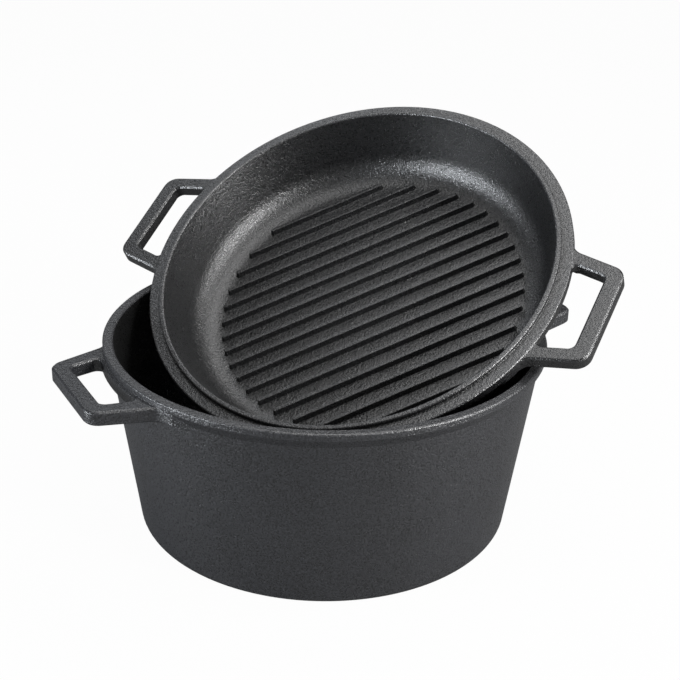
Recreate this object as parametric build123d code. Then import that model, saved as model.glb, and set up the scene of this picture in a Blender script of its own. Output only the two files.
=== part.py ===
from build123d import *
import math
import os

# Frame: base centre at the origin, +Z up, the pot's two handles along X. Millimetres.

# Pot shell
POT_HEIGHT = 114.9
RIM_OUTER_R = 130.0
RIM_WIDTH = 6.0
MOUTH_R = RIM_OUTER_R - RIM_WIDTH
WALL_DRAFT = 7.67
WALL_INNER_DRAFT = 8.4
BASE_THICK = 5.2
FOOT_ROUND = 3.5
INNER_FLOOR_ROUND = 14.0
RIM_EDGE_BREAK = 0.7
MOUTH_EDGE_BREAK = 0.9

# Bead under the rim: crisp beside one handle, blended into the wall elsewhere
BEAD_HEIGHT = 4.6
BEAD_PROUD = 2.5
BEAD_BLEND_DROP = 5.0
CRISP_BEAD_HALF_ANGLE = 69.0

# Shallow witness notch across the rim top
NOTCH_AZIMUTH = 149.0
NOTCH_WIDTH = 1.4
NOTCH_DEPTH = 1.0

# Loop handles, the same pattern on both castings, wider at the pot's root
HANDLE_REACH = RIM_OUTER_R + 27.6
HANDLE_BAR = 9.9
HANDLE_THICK = 8.5
HANDLE_TIP_HALF = 32.8
POT_ROOT_HALF = 41.0
LID_ROOT_HALF = 38.5
HANDLE_TIP_ROUND = 9.0
HANDLE_ROOT_ROUND = 9.0
HANDLE_EDGE_BREAK = 1.1
HOLE_OUTER_X = HANDLE_REACH - HANDLE_BAR
HOLE_TIP_HALF = 25.8
HOLE_ROOT_HALF = 29.4
HOLE_OUTER_ROUND = 4.5
HOLE_INNER_ROUND = 3.5
PAD_R = RIM_OUTER_R - 0.4
PAD_ANGLE = 24.0
PAD_FADE_ANGLE = 31.0
PAD_FADE_STEP = 0.6
POT_HANDLE_DROP = 3.8
POT_LEDGE_R = RIM_OUTER_R + 1.5
LID_HANDLE_DROP = 0.8
LID_LEDGE_R = RIM_OUTER_R - 0.6

# Lid, a shallow ridged skillet; its flange's top plane is the lid's own zero height
FLANGE_OUTER_R = RIM_OUTER_R
FLANGE_THICK = 5.6
FLANGE_EDGE_BREAK = 0.6
LIP_CLEARANCE = 0.9
LIP_OUTER_R = MOUTH_R - LIP_CLEARANCE
LIP_WIDTH = 2.9
LIP_INNER_R = LIP_OUTER_R - LIP_WIDTH
LIP_HEIGHT = 2.8
LIP_EDGE_BREAK = 0.5
LID_BODY_R = LIP_OUTER_R - 1.5
LID_OUTER_DRAFT = 13.0
LID_INNER_DRAFT = 14.0
LID_OUTER_ROUND = 18.0
LID_INNER_ROUND = 19.0
LID_FLOOR_THICK = 5.0

# Grill ribs on the lid's floor
RIB_TOP_DEPTH = 37.1
RIB_HEIGHT = 3.9
RIB_COUNT = 16
RIB_FIELD_R = RIM_OUTER_R - 33.4
RIB_SPREAD = 0.9084
RIB_PITCH = 2.0 * RIB_FIELD_R * RIB_SPREAD / (RIB_COUNT - 1)
RIB_BASE_WIDTH = 3.6
RIB_SIDE_DRAFT = 11.0
RIB_SINK = 0.6
RIB_END_NOSE = 1.3
RIB_ANGLE = 45.0
FLOOR_Z = -(RIB_TOP_DEPTH + RIB_HEIGHT)
LID_DEPTH = LID_FLOOR_THICK - FLOOR_Z

# How the lid is propped on the pot: its centre in rim radii from the middle of the rim
LID_SHIFT_X = 0.2148
LID_SHIFT_Y = 0.1246
LID_RISE = 0.2638
LID_TILT = 31.27
LID_TURN = -58.22


def wall_outer_r(z):
    """Outside radius of the pot's wall at height z."""
    return RIM_OUTER_R - BEAD_PROUD - (POT_HEIGHT - z) * math.tan(math.radians(WALL_DRAFT))


def wall_inner_r(z):
    """Inside radius of the pot's wall at height z."""
    return MOUTH_R - (POT_HEIGHT - z) * math.tan(math.radians(WALL_INNER_DRAFT))


def lid_outer_r(z):
    """Outside radius of the lid's body at height z below the flange."""
    return LID_BODY_R + (z + FLANGE_THICK) * math.tan(math.radians(LID_OUTER_DRAFT))


def lid_inner_r(z):
    """Inside radius of the lid's dish at height z in the lid's frame."""
    return LIP_INNER_R - (LIP_HEIGHT - z) * math.tan(math.radians(LID_INNER_DRAFT))


def corners_near(profile, points, reach=0.05):
    """Vertices of a flat profile that lie at the given points."""
    found = []
    for vertex in profile.vertices():
        for x, y in points:
            if math.hypot(vertex.X - x, vertex.Y - y) < reach:
                found.append(vertex)
    return found


def turned(profile, arc=360.0):
    """Turn a flat (radius, height) profile about the vertical axis."""
    upright = Plane.XZ * profile
    return revolve(upright, axis=Axis.Z, revolution_arc=arc)


def pot_shell():
    """The plain turned pot with its rim bead and hollow inside."""
    bead_z = POT_HEIGHT - BEAD_HEIGHT
    foot = (wall_outer_r(0), 0)
    undercut = (wall_outer_r(bead_z), bead_z)
    bead_low = (RIM_OUTER_R, bead_z)
    bead_top = (RIM_OUTER_R, POT_HEIGHT)
    mouth = (MOUTH_R, POT_HEIGHT)
    floor_corner = (wall_inner_r(BASE_THICK), BASE_THICK)
    outline = Polyline(
        (0, 0), foot, undercut, bead_low, bead_top, mouth, floor_corner, (0, BASE_THICK), (0, 0)
    )
    profile = make_face(outline)
    profile = fillet(corners_near(profile, [foot]), FOOT_ROUND)
    profile = fillet(corners_near(profile, [floor_corner]), INNER_FLOOR_ROUND)
    profile = chamfer(corners_near(profile, [bead_low, bead_top]), RIM_EDGE_BREAK)
    profile = chamfer(corners_near(profile, [mouth]), MOUTH_EDGE_BREAK)
    return turned(profile)


def bead_blend():
    """Filler that eases the bead into the wall, away from the crisp stretch."""
    high_z = POT_HEIGHT - BEAD_HEIGHT + RIM_EDGE_BREAK
    low_z = POT_HEIGHT - BEAD_HEIGHT - BEAD_BLEND_DROP
    inside_r = (wall_inner_r(high_z) + wall_outer_r(low_z)) / 2.0
    outline = Polyline(
        (inside_r, low_z),
        (wall_outer_r(low_z), low_z),
        (RIM_OUTER_R, high_z),
        (inside_r, high_z),
        (inside_r, low_z),
    )
    blended_arc = 360.0 - 2.0 * CRISP_BEAD_HALF_ANGLE
    ring = turned(make_face(outline), blended_arc)
    return Rot(0, 0, CRISP_BEAD_HALF_ANGLE) * ring


def rim_notch():
    """Cutter for the shallow notch across the rim top."""
    cutter = Box(2.0 * RIM_WIDTH, NOTCH_WIDTH, 2.0 * NOTCH_DEPTH)
    mid_r = (RIM_OUTER_R + MOUTH_R) / 2.0
    return Rot(0, 0, NOTCH_AZIMUTH) * Pos(mid_r, 0, POT_HEIGHT) * cutter


def polar(radius, angle):
    """Point at a radius and an angle in degrees."""
    return (radius * math.cos(math.radians(angle)), radius * math.sin(math.radians(angle)))


def arm_half_width(x, root_half):
    """Half the handle's outside width at distance x from the pot's axis."""
    taper = (root_half - HANDLE_TIP_HALF) / (HANDLE_REACH - RIM_OUTER_R)
    return HANDLE_TIP_HALF + (HANDLE_REACH - x) * taper


def hole_half_width(x):
    """Half the finger hole's width at distance x from the pot's axis."""
    taper = (HOLE_ROOT_HALF - HOLE_TIP_HALF) / (HOLE_OUTER_X - RIM_OUTER_R)
    return HOLE_TIP_HALF + (HOLE_OUTER_X - x) * taper


def tapered_panel(inner_x, inner_half, outer_x, outer_half):
    """Flat four-sided panel between two half widths."""
    return make_face(Polyline(
        (inner_x, -inner_half),
        (outer_x, -outer_half),
        (outer_x, outer_half),
        (inner_x, inner_half),
        (inner_x, -inner_half),
    ))


def root_pad(fade_r):
    """Part of the rim circle that the handle's root fillets run into."""
    beyond = 2.0 * RIM_OUTER_R
    inside = fade_r * math.cos(math.radians(PAD_FADE_ANGLE)) / 2.0
    fade = polar(fade_r, PAD_FADE_ANGLE)
    upper = [(inside, fade[1]), fade, polar(PAD_R, PAD_ANGLE), polar(beyond, PAD_ANGLE)]
    lower = [(x, -y) for x, y in reversed(upper)]
    wedge = make_face(Polyline(*upper, *lower, upper[0]))
    return Circle(PAD_R) & wedge


def finger_hole(ledge_r):
    """Flat outline of the opening inside a loop handle."""
    inner_x = ledge_r / 2.0
    hole = tapered_panel(inner_x, hole_half_width(inner_x), HOLE_OUTER_X, HOLE_TIP_HALF)
    hole = hole - Circle(ledge_r)
    outer = [vertex for vertex in hole.vertices() if abs(vertex.X - HOLE_OUTER_X) < 0.05]
    hole = fillet(outer, HOLE_OUTER_ROUND)
    inner = [vertex for vertex in hole.vertices()
             if abs(math.hypot(vertex.X, vertex.Y) - ledge_r) < 0.05]
    return fillet(inner, HOLE_INNER_ROUND)


def handle_plan(root_half, ledge_r, bury_r):
    """Flat outline of a loop handle with its root pad and finger hole."""
    inner_x = bury_r - HANDLE_THICK
    arms = tapered_panel(inner_x, arm_half_width(inner_x, root_half), HANDLE_REACH, HANDLE_TIP_HALF)
    tips = [(HANDLE_REACH, -HANDLE_TIP_HALF), (HANDLE_REACH, HANDLE_TIP_HALF)]
    arms = fillet(corners_near(arms, tips), HANDLE_TIP_ROUND)
    plan = arms + root_pad(bury_r + PAD_FADE_STEP)
    junction = [vertex for vertex in plan.vertices()
                if abs(math.hypot(vertex.X, vertex.Y) - PAD_R) < 0.05
                and abs(abs(vertex.Y) - arm_half_width(vertex.X, root_half)) < 0.05]
    plan = fillet(junction, HANDLE_ROOT_ROUND)
    plan = plan - Circle(bury_r)
    return plan - finger_hole(ledge_r)


def loop_handle(plan, top_z):
    """One loop handle on the +X side with broken edges, its root sunk in the wall."""
    bar = extrude(plan, HANDLE_THICK)
    rims = []
    for face in bar.faces().filter_by(Axis.Z):
        for edge in face.edges():
            middle = edge.position_at(0.5)
            if math.hypot(middle.X, middle.Y) > PAD_R - HANDLE_EDGE_BREAK:
                rims.append(edge)
    bar = chamfer(rims, HANDLE_EDGE_BREAK)
    return Pos(0, 0, top_z - HANDLE_THICK) * bar


def facing_pair(shape):
    """A shape and its twin on the other side of the vertical axis."""
    return [shape, Rot(0, 0, 180) * shape]


def dutch_oven_pot():
    """The deep pot: shell, rim bead, notch and two loop handles."""
    pot = pot_shell() + bead_blend() - rim_notch()
    top_z = POT_HEIGHT - POT_HANDLE_DROP
    bury_r = (wall_inner_r(top_z) + wall_outer_r(top_z - HANDLE_THICK)) / 2.0
    plan = handle_plan(POT_ROOT_HALF, POT_LEDGE_R, bury_r)
    for handle in facing_pair(loop_handle(plan, top_z)):
        pot = pot + handle
    return pot


def lid_shell():
    """The plain turned lid: flange, raised lip, dished body."""
    base = (lid_outer_r(-LID_DEPTH), -LID_DEPTH)
    throat = (LID_BODY_R, -FLANGE_THICK)
    flange_low = (FLANGE_OUTER_R, -FLANGE_THICK)
    flange_top = (FLANGE_OUTER_R, 0)
    lip_foot = (LIP_OUTER_R, 0)
    lip_outer = (LIP_OUTER_R, LIP_HEIGHT)
    lip_inner = (LIP_INNER_R, LIP_HEIGHT)
    floor_corner = (lid_inner_r(FLOOR_Z), FLOOR_Z)
    outline = Polyline(
        (0, -LID_DEPTH), base, throat, flange_low, flange_top, lip_foot, lip_outer, lip_inner,
        floor_corner, (0, FLOOR_Z), (0, -LID_DEPTH)
    )
    profile = make_face(outline)
    profile = fillet(corners_near(profile, [base]), LID_OUTER_ROUND)
    profile = fillet(corners_near(profile, [floor_corner]), LID_INNER_ROUND)
    profile = chamfer(corners_near(profile, [flange_low, flange_top]), FLANGE_EDGE_BREAK)
    profile = chamfer(corners_near(profile, [lip_outer, lip_inner]), LIP_EDGE_BREAK)
    return turned(profile)


def grill_rib(length):
    """One tapered rib with nosed ends, its foot just under the floor."""
    foot_drop = RIB_SINK * math.tan(math.radians(RIB_SIDE_DRAFT))
    foot = Rectangle(length + 2.0 * foot_drop, RIB_BASE_WIDTH + 2.0 * foot_drop)
    foot = chamfer(foot.vertices(), RIB_END_NOSE)
    return extrude(foot, RIB_HEIGHT + RIB_SINK, taper=RIB_SIDE_DRAFT)


def grill_ribs():
    """The whole rib field, each rib trimmed to the round floor."""
    foot_z = FLOOR_Z - RIB_SINK
    ribs = []
    for index in range(RIB_COUNT):
        offset = (index - (RIB_COUNT - 1) / 2.0) * RIB_PITCH
        length = 2.0 * math.sqrt(RIB_FIELD_R ** 2 - offset ** 2)
        ribs.append(Rot(0, 0, RIB_ANGLE) * Pos(0, offset, foot_z) * grill_rib(length))
    return ribs


def lid_handle():
    """A lid handle, open under the flange between its arms."""
    low_z = -LID_HANDLE_DROP - HANDLE_THICK
    bury_r = (lid_inner_r(-FLANGE_THICK) + lid_outer_r(low_z)) / 2.0
    plan = handle_plan(LID_ROOT_HALF, LID_LEDGE_R, bury_r)
    handle = loop_handle(plan, -LID_HANDLE_DROP)
    below = extrude(finger_hole(LID_BODY_R), HANDLE_THICK)
    return handle - Pos(0, 0, -FLANGE_THICK - HANDLE_THICK) * below


def grill_skillet_lid():
    """The shallow lid: shell, two loop handles and the rib field."""
    lid = lid_shell()
    for handle in facing_pair(lid_handle()):
        lid = lid + handle
    for rib in grill_ribs():
        lid = lid + rib
    return lid


def lid_place():
    """Where the propped lid sits on the pot."""
    centre = (
        LID_SHIFT_X * RIM_OUTER_R,
        LID_SHIFT_Y * RIM_OUTER_R,
        POT_HEIGHT + LID_RISE * RIM_OUTER_R,
    )
    return Pos(*centre) * Rot(0, 0, LID_TURN) * Rot(LID_TILT, 0, 0)


def main():
    os.makedirs("parts", exist_ok=True)
    export_step(dutch_oven_pot(), "parts/dutch_oven_pot.step")
    export_step(lid_place() * grill_skillet_lid(), "parts/grill_skillet_lid.step")


main()
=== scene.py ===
import math

import bmesh
import bpy
from mathutils import Matrix, Vector

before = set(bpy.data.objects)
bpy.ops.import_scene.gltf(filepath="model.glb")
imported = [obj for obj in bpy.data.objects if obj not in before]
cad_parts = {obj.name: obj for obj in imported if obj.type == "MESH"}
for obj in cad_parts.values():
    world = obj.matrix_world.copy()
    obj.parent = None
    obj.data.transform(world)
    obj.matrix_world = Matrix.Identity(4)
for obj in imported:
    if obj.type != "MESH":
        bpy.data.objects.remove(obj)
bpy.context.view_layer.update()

# Frame: metres, base centre at the origin, +Z up, the pot's handles along X.

# Camera, fitted to the photograph
CAMERA_PLACE = (-0.33372, -0.62035, 0.42865)
CAMERA_HEADING = math.radians(28.99)
CAMERA_DOWN = math.radians(24.468)
CAMERA_ROLL = math.radians(1.169)
CAMERA_LENS = 69.10
CAMERA_SENSOR = 36.0
CAMERA_NEAR = 0.01

# The pot
POT_HEIGHT = 0.1149
POT_FLOOR_TOP = 0.0052
POT_FOOT_INNER_R = 0.1070
RIM_OUTER_R = 0.1300
RIM_WIDTH = 0.0060
MOUTH_R = RIM_OUTER_R - RIM_WIDTH
RIM_MID_R = RIM_OUTER_R - RIM_WIDTH / 2.0

# The lid in its own frame, and where it is propped
LIP_MID_R = 0.12165
LIP_HEIGHT = 0.0028
FLANGE_INNER_R = 0.1240
LID_CENTRE = (0.02792, 0.01620, 0.14919)
LID_TURN = math.radians(-58.22)
LID_TILT = math.radians(31.27)

# Lighter bands on the rim, the lip and the flange: partly rubbed metal, partly a painted highlight on
# these upward faces
RIM_RUB_SHEEN_HALF = 0.0034
RIM_RUB_SHEEN_DEPTH = (0.0016, 0.0004)
LIP_RUB_SHEEN_HALF = 0.0026
LIP_RUB_SHEEN_DEPTH = (0.0012, 0.0004)
FLANGE_RUB_SHEEN_EDGE = 0.0006
FLANGE_RUB_SHEEN_DEPTH = (0.0010, 0.0003)
BAND_FULL_SHARE = 0.7

# Painted shade inside the pot's hollow
INSIDE_SHADE_MARGIN = 0.0012
INSIDE_SHADE_EDGE = 0.0008
INSIDE_SHADE_FLOOR_DEPTH = (0.0020, 0.0010)
INSIDE_SHADE_RIM_DEPTH = (0.0003, 0.0012)

# Cast-iron colours and gloss
# Pot and lid are one iron: the pot's colour is painted lighter and the lid's darker, as painted light
# and shade.
POT_PAINTED_LIGHTER_COLOUR = (0.0140, 0.0145, 0.0165)
LID_PAINTED_DARKER_COLOUR = (0.0050, 0.0051, 0.0055)
# Lighter colour for the bands and edges: partly rubbed metal, partly painted highlight.
IRON_WORN_AND_SHEEN_COLOUR = (0.075, 0.075, 0.078)
# Near-black colour painted inside the pot as painted shade.
INSIDE_SHADE_COLOUR = (0.003, 0.003, 0.003)
MOTTLE_DARK = 0.40
MOTTLE_LIGHT = 2.20
CLOUD_SHARE = 0.30
RUBBED_AND_SHEEN_FLAT_SHARE = 0.5
WORN_AND_SHEEN_SHARE = 0.7
IRON_ROUGH = 0.24
MOTTLE_ROUGH = 0.16
WORN_ROUGH = -0.06
IRON_IOR = 1.90

# Eased edges, and outward edges given a painted highlight
EDGE_EASE = 0.0008
EDGE_HIGHLIGHT_RADIUS = 0.0009
EDGE_SAMPLES = 8
EDGE_LIKENESS = (0.99, 0.90)
CREVICE_REACH = 0.003
OPEN_AIR = (0.70, 0.95)

# Sand-cast grain
GRAIN_STRENGTH = 0.8
GRAIN_HEIGHT = 0.00044
GRAIN_SCALE = 1050.0
GRAIN_DETAIL = 2.0
GRAIN_ROUGHNESS = 0.6
LUMP_SCALE = 480.0
LUMP_SMOOTH = 0.6
LUMP_SHARE = 0.45
CLOUD_SCALE = 26.0
CLOUD_DETAIL = 4.0
MOTTLE_RANGE = (0.32, 0.68)
CLOUD_RANGE = (0.30, 0.70)

# Studio
WHITE = (1.0, 1.0, 1.0)
FILL_COLOUR = (0.97, 0.985, 1.0)
FILL_STRENGTH = 0.05
WORLD_WHITE = 1.0
GLOSSY_WHITE = 0.05
FLOOR_HALF = 3.0
FLOOR_GREY = (0.15, 0.15, 0.15)
FLOOR_ROUGH = 0.9
FLOOR_WHITE = 1.08
FLOOR_WHITE_SHARE = 0.90
LIGHT_REACH = 1.4
LIGHT_TARGET = (0.0, 0.0, 0.08)
NEUTRAL_LIGHT = (1.0, 1.0, 1.0)
COOL_LIGHT = (0.91, 0.95, 1.0)

# Soft boxes: turn and rise from the camera side in degrees, width and height, watts, colour
SOFT_BOXES = {
    "light_top": (0.0, 80.0, 1.0, 0.7, 6.4, NEUTRAL_LIGHT),
    "light_top_back": (160.0, 65.0, 0.6, 0.4, 3.2, NEUTRAL_LIGHT),
    "light_right_front": (52.0, 24.0, 0.26, 0.26, 13.0, NEUTRAL_LIGHT),
    "light_right_low": (64.0, 8.0, 0.26, 0.60, 9.0, NEUTRAL_LIGHT),
    "light_right_side": (90.0, 38.0, 0.40, 0.40, 5.5, NEUTRAL_LIGHT),
    "light_left_front": (-66.0, 4.0, 0.26, 0.50, 19.0, COOL_LIGHT),
    "light_left_side": (-85.0, 5.0, 0.40, 0.80, 2.2, COOL_LIGHT),
    "light_left_back": (-150.0, 45.0, 0.50, 0.50, 1.6, COOL_LIGHT),
}

# Socket kinds of the node groups
NUMBER = "NodeSocketFloat"
VECTOR = "NodeSocketVector"
COLOUR = "NodeSocketColor"


def feed(tree, port, value):
    """Give an input socket a number, a colour, a vector or another node's output."""
    if isinstance(value, bpy.types.NodeSocket):
        tree.links.new(value, port)
    elif port.type == "RGBA":
        port.default_value = (*value, 1.0)
    else:
        port.default_value = value


def add_node(tree, kind, **settings):
    """A node with its plain settings."""
    node = tree.nodes.new(kind)
    for name, value in settings.items():
        setattr(node, name, value)
    return node


def math_node(tree, operation, *values):
    """A math node's output, from sockets or numbers."""
    node = add_node(tree, "ShaderNodeMath", operation=operation)
    for port, value in zip(node.inputs, values):
        feed(tree, port, value)
    return node.outputs[0]


def ramp(tree, value, start, end):
    """Smooth 0 to 1 mask as a value goes from start to end."""
    node = add_node(tree, "ShaderNodeMapRange", interpolation_type="SMOOTHSTEP")
    feed(tree, node.inputs["Value"], value)
    feed(tree, node.inputs["From Min"], start)
    feed(tree, node.inputs["From Max"], end)
    return node.outputs["Result"]


def band(tree, value, middle, half):
    """1 near a middle value, fading out to 0 at the half width."""
    apart = math_node(tree, "ABSOLUTE", math_node(tree, "SUBTRACT", value, middle))
    return ramp(tree, apart, half, half * BAND_FULL_SHARE)


def below(tree, height, top, depth):
    """Smooth mask from the first to the second depth under a top."""
    return ramp(tree, height, top - depth[0], top - depth[1])


def mix_colour(tree, factor, first, second):
    """Colour mix, from sockets or plain colours."""
    node = add_node(tree, "ShaderNodeMix", data_type="RGBA")
    feed(tree, node.inputs[0], factor)
    feed(tree, node.inputs[6], first)
    feed(tree, node.inputs[7], second)
    return node.outputs[2]


def shaded(colour, share):
    """A colour made darker or lighter by a share."""
    return tuple(channel * share for channel in colour)


def new_group(name, inputs, outputs):
    """An empty node group with named sockets, and its own input and output ends."""
    tree = bpy.data.node_groups.new(name, "ShaderNodeTree")
    for direction, sockets in (("INPUT", inputs), ("OUTPUT", outputs)):
        for socket_name, kind in sockets.items():
            tree.interface.new_socket(name=socket_name, in_out=direction, socket_type=kind)
    start = add_node(tree, "NodeGroupInput")
    end = add_node(tree, "NodeGroupOutput")
    return tree, start.outputs, end.inputs


def place_group(tree, group, **values):
    """A node group placed in a material with its own values."""
    node = add_node(tree, "ShaderNodeGroup", node_tree=group)
    for name, value in values.items():
        feed(tree, node.inputs[name], value)
    return node


def sand_cast_grain():
    """Grain of a sand casting: fine mottle, broad cloud and a grained normal."""
    tree, start, end = new_group(
        "sand_cast_grain",
        {"Vector": VECTOR, "Strength": NUMBER, "Normal": VECTOR},
        {"Mottle": NUMBER, "Cloud": NUMBER, "Normal": VECTOR},
    )
    grain = add_node(tree, "ShaderNodeTexNoise")
    feed(tree, grain.inputs["Scale"], GRAIN_SCALE)
    feed(tree, grain.inputs["Detail"], GRAIN_DETAIL)
    feed(tree, grain.inputs["Roughness"], GRAIN_ROUGHNESS)
    lumps = add_node(tree, "ShaderNodeTexVoronoi", feature="SMOOTH_F1")
    feed(tree, lumps.inputs["Scale"], LUMP_SCALE)
    feed(tree, lumps.inputs["Smoothness"], LUMP_SMOOTH)
    cloud = add_node(tree, "ShaderNodeTexNoise")
    feed(tree, cloud.inputs["Scale"], CLOUD_SCALE)
    feed(tree, cloud.inputs["Detail"], CLOUD_DETAIL)
    for texture in (grain, lumps, cloud):
        feed(tree, texture.inputs["Vector"], start["Vector"])

    height = math_node(
        tree, "MULTIPLY_ADD", lumps.outputs["Distance"], LUMP_SHARE, grain.outputs["Fac"]
    )
    bump = add_node(tree, "ShaderNodeBump")
    feed(tree, bump.inputs["Distance"], GRAIN_HEIGHT)
    feed(tree, bump.inputs["Strength"], start["Strength"])
    feed(tree, bump.inputs["Height"], height)
    feed(tree, bump.inputs["Normal"], start["Normal"])

    feed(tree, end["Mottle"], ramp(tree, grain.outputs["Fac"], *MOTTLE_RANGE))
    feed(tree, end["Cloud"], ramp(tree, cloud.outputs["Fac"], *CLOUD_RANGE))
    feed(tree, end["Normal"], bump.outputs["Normal"])
    return tree


def painted_edge_highlights():
    """Mask of the outward edges that get a painted highlight, where the eased normal leaves the flat
    one in the open.
    """
    tree, start, end = new_group("painted_edge_highlights", {"Radius": NUMBER}, {"Edges": NUMBER})
    eased = add_node(tree, "ShaderNodeBevel", samples=EDGE_SAMPLES)
    feed(tree, eased.inputs["Radius"], start["Radius"])
    flat = add_node(tree, "ShaderNodeNewGeometry")
    likeness = add_node(tree, "ShaderNodeVectorMath", operation="DOT_PRODUCT")
    feed(tree, likeness.inputs[0], eased.outputs["Normal"])
    feed(tree, likeness.inputs[1], flat.outputs["Normal"])
    edge = ramp(tree, likeness.outputs["Value"], *EDGE_LIKENESS)
    nearby = add_node(tree, "ShaderNodeAmbientOcclusion", samples=EDGE_SAMPLES, only_local=True)
    feed(tree, nearby.inputs["Distance"], CREVICE_REACH)
    open_air = ramp(tree, nearby.outputs["AO"], *OPEN_AIR)
    feed(tree, end["Edges"], math_node(tree, "MULTIPLY", edge, open_air))
    return tree


def round_place():
    """Radius and height of a point in a casting's own frame."""
    tree, start, end = new_group(
        "round_place", {"Vector": VECTOR}, {"Radius": NUMBER, "Height": NUMBER}
    )
    split = add_node(tree, "ShaderNodeSeparateXYZ")
    feed(tree, split.inputs[0], start["Vector"])
    across = math_node(tree, "MULTIPLY", split.outputs["X"], split.outputs["X"])
    along = math_node(tree, "MULTIPLY", split.outputs["Y"], split.outputs["Y"])
    feed(tree, end["Radius"], math_node(tree, "SQRT", math_node(tree, "ADD", across, along)))
    feed(tree, end["Height"], split.outputs["Z"])
    return tree


def iron_skin():
    """Colour and roughness of seasoned iron, from its grain, its partly rubbed and partly painted-sheen
    bands, its painted edge highlights and its painted shade inside the pot.
    """
    tree, start, end = new_group(
        "iron_skin",
        {
            "Dark": COLOUR, "Light": COLOUR, "Mottle": NUMBER, "Cloud": NUMBER,
            "Edges": NUMBER, "Rubbed_and_sheen": NUMBER, "Painted_shade": NUMBER,
        },
        {"Colour": COLOUR, "Roughness": NUMBER},
    )
    # Bands of partly rubbed metal, partly painted sheen.
    flats = math_node(tree, "MULTIPLY", start["Rubbed_and_sheen"], RUBBED_AND_SHEEN_FLAT_SHARE)
    worn_and_sheen = math_node(tree, "MAXIMUM", flats, start["Edges"])
    colour = mix_colour(tree, start["Mottle"], start["Dark"], start["Light"])
    clouded = math_node(tree, "MULTIPLY", start["Cloud"], CLOUD_SHARE)
    colour = mix_colour(tree, clouded, colour, start["Light"])
    # Lighter colour painted on the bands and edges: partly rubbed metal, partly painted highlight.
    worn_and_sheen_part = math_node(tree, "MULTIPLY", worn_and_sheen, WORN_AND_SHEEN_SHARE)
    colour = mix_colour(tree, worn_and_sheen_part, colour, IRON_WORN_AND_SHEEN_COLOUR)
    # Painted shade inside the pot.
    colour = mix_colour(tree, start["Painted_shade"], colour, INSIDE_SHADE_COLOUR)
    mottled = math_node(tree, "MULTIPLY_ADD", start["Mottle"], MOTTLE_ROUGH, IRON_ROUGH)
    feed(tree, end["Colour"], colour)
    feed(tree, end["Roughness"], math_node(tree, "MULTIPLY_ADD", worn_and_sheen, WORN_ROUGH, mottled))
    return tree


def cast_iron(name, groups, colour, centre=(0.0, 0.0, 0.0), turn=(0.0, 0.0, 0.0)):
    """A cast-iron material, with the skin it wears and the measures of its casting's own frame."""
    material = bpy.data.materials.new(name)
    material.use_nodes = True
    tree = material.node_tree
    shader = tree.nodes["Principled BSDF"]
    feed(tree, shader.inputs["Metallic"], 0.0)
    feed(tree, shader.inputs["IOR"], IRON_IOR)
    where = add_node(tree, "ShaderNodeTexCoord").outputs["Object"]

    eased = add_node(tree, "ShaderNodeBevel", samples=EDGE_SAMPLES)
    feed(tree, eased.inputs["Radius"], EDGE_EASE)
    grain = place_group(
        tree, groups["grain"], Vector=where, Strength=GRAIN_STRENGTH, Normal=eased.outputs["Normal"]
    )
    edges = place_group(tree, groups["edges"], Radius=EDGE_HIGHLIGHT_RADIUS)
    skin = place_group(
        tree, groups["skin"], Dark=shaded(colour, MOTTLE_DARK), Light=shaded(colour, MOTTLE_LIGHT),
        Mottle=grain.outputs["Mottle"], Cloud=grain.outputs["Cloud"], Edges=edges.outputs["Edges"],
    )
    feed(tree, shader.inputs["Base Color"], skin.outputs["Colour"])
    feed(tree, shader.inputs["Roughness"], skin.outputs["Roughness"])
    feed(tree, shader.inputs["Normal"], grain.outputs["Normal"])

    own = add_node(tree, "ShaderNodeMapping", vector_type="TEXTURE")
    feed(tree, own.inputs["Vector"], where)
    feed(tree, own.inputs["Location"], centre)
    feed(tree, own.inputs["Rotation"], turn)
    measure = place_group(tree, groups["place"], Vector=own.outputs["Vector"])
    return material, skin, measure.outputs["Radius"], measure.outputs["Height"]


def pot_iron(groups):
    """The pot's iron: painted shade inside, lighter on the rim from partly rubbed metal and partly
    painted sheen, its colour painted lighter than the lid's.
    """
    material, skin, radius, height = cast_iron("pot_cast_iron", groups, POT_PAINTED_LIGHTER_COLOUR)
    tree = material.node_tree
    # Rim band: partly rubbed metal, partly painted sheen.
    rim_top = below(tree, height, POT_HEIGHT, RIM_RUB_SHEEN_DEPTH)
    rim = math_node(tree, "MULTIPLY", band(tree, radius, RIM_MID_R, RIM_RUB_SHEEN_HALF), rim_top)
    feed(tree, skin.inputs["Rubbed_and_sheen"], rim)

    # Painted shade: darken the pot's hollow between the floor and the rim.
    slope = (MOUTH_R - POT_FOOT_INNER_R) / POT_HEIGHT
    wall = math_node(tree, "MULTIPLY_ADD", height, slope, POT_FOOT_INNER_R + INSIDE_SHADE_MARGIN)
    within = ramp(tree, math_node(tree, "SUBTRACT", wall, radius), 0.0, INSIDE_SHADE_EDGE)
    above_floor = below(tree, height, POT_FLOOR_TOP, INSIDE_SHADE_FLOOR_DEPTH)
    under_rim = below(tree, height, POT_HEIGHT, INSIDE_SHADE_RIM_DEPTH)
    hollow = math_node(tree, "MULTIPLY", within, above_floor)
    feed(tree, skin.inputs["Painted_shade"], math_node(tree, "MULTIPLY", hollow, under_rim))
    return material


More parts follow.
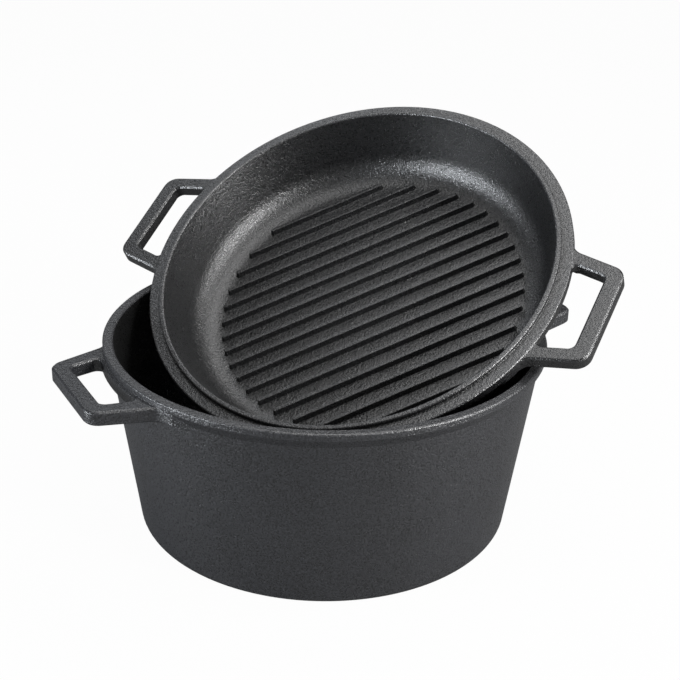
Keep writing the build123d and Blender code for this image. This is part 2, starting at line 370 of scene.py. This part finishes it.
def lid_iron(groups):
    """The lid's iron: lighter on the lip and the flange, partly rubbed metal and partly painted sheen;
    its colour is painted darker than the pot's as painted shade.
    """
    turn = Matrix.Rotation(LID_TURN, 3, "Z") @ Matrix.Rotation(LID_TILT, 3, "X")
    material, skin, radius, height = cast_iron(
        "lid_cast_iron", groups, LID_PAINTED_DARKER_COLOUR, LID_CENTRE, turn.to_euler("XYZ")
    )
    tree = material.node_tree
    # Lip and flange bands: partly rubbed metal, partly painted sheen.
    lip_top = below(tree, height, LIP_HEIGHT, LIP_RUB_SHEEN_DEPTH)
    lip = math_node(tree, "MULTIPLY", band(tree, radius, LIP_MID_R, LIP_RUB_SHEEN_HALF), lip_top)
    flange_top = below(tree, height, 0.0, FLANGE_RUB_SHEEN_DEPTH)
    beyond_lip = ramp(tree, radius, FLANGE_INNER_R, FLANGE_INNER_R + FLANGE_RUB_SHEEN_EDGE)
    flange = math_node(tree, "MULTIPLY", beyond_lip, flange_top)
    feed(tree, skin.inputs["Rubbed_and_sheen"], math_node(tree, "MAXIMUM", lip, flange))
    return material


def dress(name, material):
    """Give a CAD node its finish."""
    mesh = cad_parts[name].data
    mesh.materials.clear()
    mesh.materials.append(material)
    for polygon in mesh.polygons:
        polygon.material_index = 0


def seen_white(tree):
    """1 for camera rays, a small share for glossy and transmission rays, 0 for the other light."""
    path = add_node(tree, "ShaderNodeLightPath")
    glossy = math_node(
        tree, "MAXIMUM", path.outputs["Is Glossy Ray"], path.outputs["Is Transmission Ray"]
    )
    share = math_node(tree, "MULTIPLY", glossy, GLOSSY_WHITE)
    return math_node(tree, "MAXIMUM", path.outputs["Is Camera Ray"], share)


def pale_floor():
    """Plain floor that the camera sees as white with the oven's soft shadow."""
    sheet = bmesh.new()
    bmesh.ops.create_grid(sheet, x_segments=1, y_segments=1, size=FLOOR_HALF)
    mesh = bpy.data.meshes.new("floor")
    sheet.to_mesh(mesh)
    sheet.free()
    floor = bpy.data.objects.new("floor", mesh)
    bpy.context.scene.collection.objects.link(floor)

    material = bpy.data.materials.new("floor_pale")
    material.use_nodes = True
    tree = material.node_tree
    shader = tree.nodes["Principled BSDF"]
    feed(tree, shader.inputs["Base Color"], FLOOR_GREY)
    feed(tree, shader.inputs["Roughness"], FLOOR_ROUGH)
    glow = add_node(tree, "ShaderNodeEmission")
    feed(tree, glow.inputs["Color"], WHITE)
    feed(tree, glow.inputs["Strength"], FLOOR_WHITE)
    blend = add_node(tree, "ShaderNodeMixShader")
    feed(tree, blend.inputs[0], math_node(tree, "MULTIPLY", seen_white(tree), FLOOR_WHITE_SHARE))
    feed(tree, blend.inputs[1], shader.outputs[0])
    feed(tree, blend.inputs[2], glow.outputs[0])
    feed(tree, tree.nodes["Material Output"].inputs["Surface"], blend.outputs[0])
    mesh.materials.append(material)


def surround(tree, colour, strength):
    """A plain world background's shader."""
    node = add_node(tree, "ShaderNodeBackground")
    feed(tree, node.inputs["Color"], colour)
    feed(tree, node.inputs["Strength"], strength)
    return node.outputs[0]


def studio_world():
    """White surround to the camera, faint fill light on the oven."""
    world = bpy.data.worlds.new("studio")
    bpy.context.scene.world = world
    world.use_nodes = True
    tree = world.node_tree
    tree.nodes.clear()
    mix = add_node(tree, "ShaderNodeMixShader")
    feed(tree, mix.inputs[0], seen_white(tree))
    feed(tree, mix.inputs[1], surround(tree, FILL_COLOUR, FILL_STRENGTH))
    feed(tree, mix.inputs[2], surround(tree, WHITE, WORLD_WHITE))
    feed(tree, add_node(tree, "ShaderNodeOutputWorld").inputs["Surface"], mix.outputs[0])


def softbox(name, place, width, height, power, colour):
    """A rectangular area light aimed at the pot."""
    data = bpy.data.lights.new(name, "AREA")
    data.shape = "RECTANGLE"
    data.size = width
    data.size_y = height
    data.energy = power
    data.color = colour
    light = bpy.data.objects.new(name, data)
    light.location = place
    light.rotation_euler = (Vector(LIGHT_TARGET) - place).to_track_quat("-Z", "Y").to_euler()
    bpy.context.scene.collection.objects.link(light)


def studio_lights():
    """Soft boxes at one distance round the oven."""
    heading = Vector((math.sin(CAMERA_HEADING), math.cos(CAMERA_HEADING), 0.0))
    side = Vector((heading.y, -heading.x, 0.0))
    upward = Vector((0.0, 0.0, 1.0))
    for name, (turn, rise, *box) in SOFT_BOXES.items():
        turn, rise = math.radians(turn), math.radians(rise)
        level = side * math.sin(turn) - heading * math.cos(turn)
        away = level * math.cos(rise) + upward * math.sin(rise)
        softbox(name, Vector(LIGHT_TARGET) + away * LIGHT_REACH, *box)


def photo_camera():
    """The photograph's view."""
    level = math.cos(CAMERA_DOWN)
    forward = Vector((
        math.sin(CAMERA_HEADING) * level, math.cos(CAMERA_HEADING) * level, -math.sin(CAMERA_DOWN)
    ))
    flat_right = forward.cross(Vector((0.0, 0.0, 1.0))).normalized()
    flat_up = flat_right.cross(forward)
    right = flat_right * math.cos(CAMERA_ROLL) + flat_up * math.sin(CAMERA_ROLL)
    upward = flat_up * math.cos(CAMERA_ROLL) - flat_right * math.sin(CAMERA_ROLL)

    data = bpy.data.cameras.new("camera")
    data.lens = CAMERA_LENS
    data.sensor_width = CAMERA_SENSOR
    data.clip_start = CAMERA_NEAR
    camera = bpy.data.objects.new("camera", data)
    turn = Matrix((right, upward, -forward)).transposed().to_4x4()
    camera.matrix_world = Matrix.Translation(CAMERA_PLACE) @ turn
    bpy.context.scene.collection.objects.link(camera)
    bpy.context.scene.camera = camera


def main():
    """Dress the two castings and set up the studio."""
    bpy.context.scene.view_settings.view_transform = "Standard"
    groups = {
        "grain": sand_cast_grain(), "edges": painted_edge_highlights(), "skin": iron_skin(), "place": round_place()
    }
    dress("dutch_oven_pot", pot_iron(groups))
    dress("grill_skillet_lid", lid_iron(groups))
    pale_floor()
    studio_world()
    studio_lights()
    photo_camera()


main()
